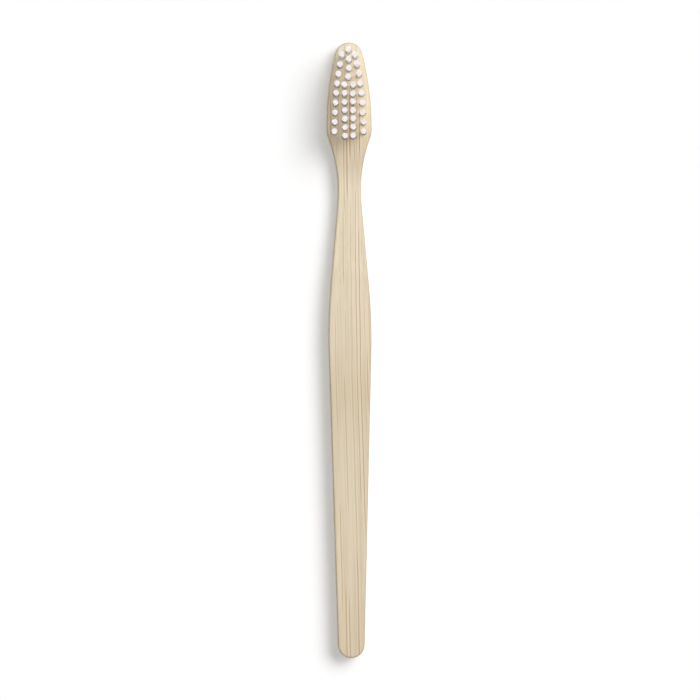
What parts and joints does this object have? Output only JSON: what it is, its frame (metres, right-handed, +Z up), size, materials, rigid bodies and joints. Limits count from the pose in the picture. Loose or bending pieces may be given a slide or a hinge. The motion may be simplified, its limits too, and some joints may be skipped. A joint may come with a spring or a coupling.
{
  "type": "manual toothbrush",
  "caption": "Manual toothbrush with a flat-backed bamboo handle, waisted neck, slim tapered head and stapled tufts of white nylon bristles.",
  "frame": {"origin": "centre of the flat back, half way along the brush", "axes": "+Z up through the bristles, +Y along the handle towards the head tip, +X to the right of the head when seen from above with the tip pointing away"},
  "size_m": [0.0138, 0.19, 0.0155],
  "materials": {
    "bamboo": "satin",
    "bristle": "satin",
    "anchor": "satin"
  },
  "bodies": {
    "root": {"handle": "bamboo", "tuft_anchors": "anchor", "tuft_tip": "bristle", "tuft_single_1": "bristle", "tuft_single_2": "bristle", "tuft_single_3": "bristle", "tuft_inner_left_1": "bristle", "tuft_inner_right_1": "bristle", "tuft_inner_left_2": "bristle", "tuft_inner_right_2": "bristle", "tuft_inner_left_3": "bristle", "tuft_inner_right_3": "bristle", "tuft_inner_left_4": "bristle", "tuft_inner_right_4": "bristle", "tuft_inner_left_5": "bristle", "tuft_inner_right_5": "bristle", "tuft_inner_left_6": "bristle", "tuft_inner_right_6": "bristle", "tuft_inner_left_7": "bristle", "tuft_inner_right_7": "bristle", "tuft_outer_left_1": "bristle", "tuft_outer_right_1": "bristle", "tuft_outer_left_2": "bristle", "tuft_outer_right_2": "bristle", "tuft_outer_left_3": "bristle", "tuft_outer_right_3": "bristle", "tuft_outer_left_4": "bristle", "tuft_outer_right_4": "bristle", "tuft_outer_left_5": "bristle", "tuft_outer_right_5": "bristle", "tuft_outer_left_6": "bristle", "tuft_outer_right_6": "bristle", "tuft_outer_left_7": "bristle", "tuft_outer_right_7": "bristle", "tuft_outer_left_8": "bristle", "tuft_outer_right_8": "bristle", "tuft_outer_left_9": "bristle", "tuft_outer_right_9": "bristle"}
  },
  "joints": []
}
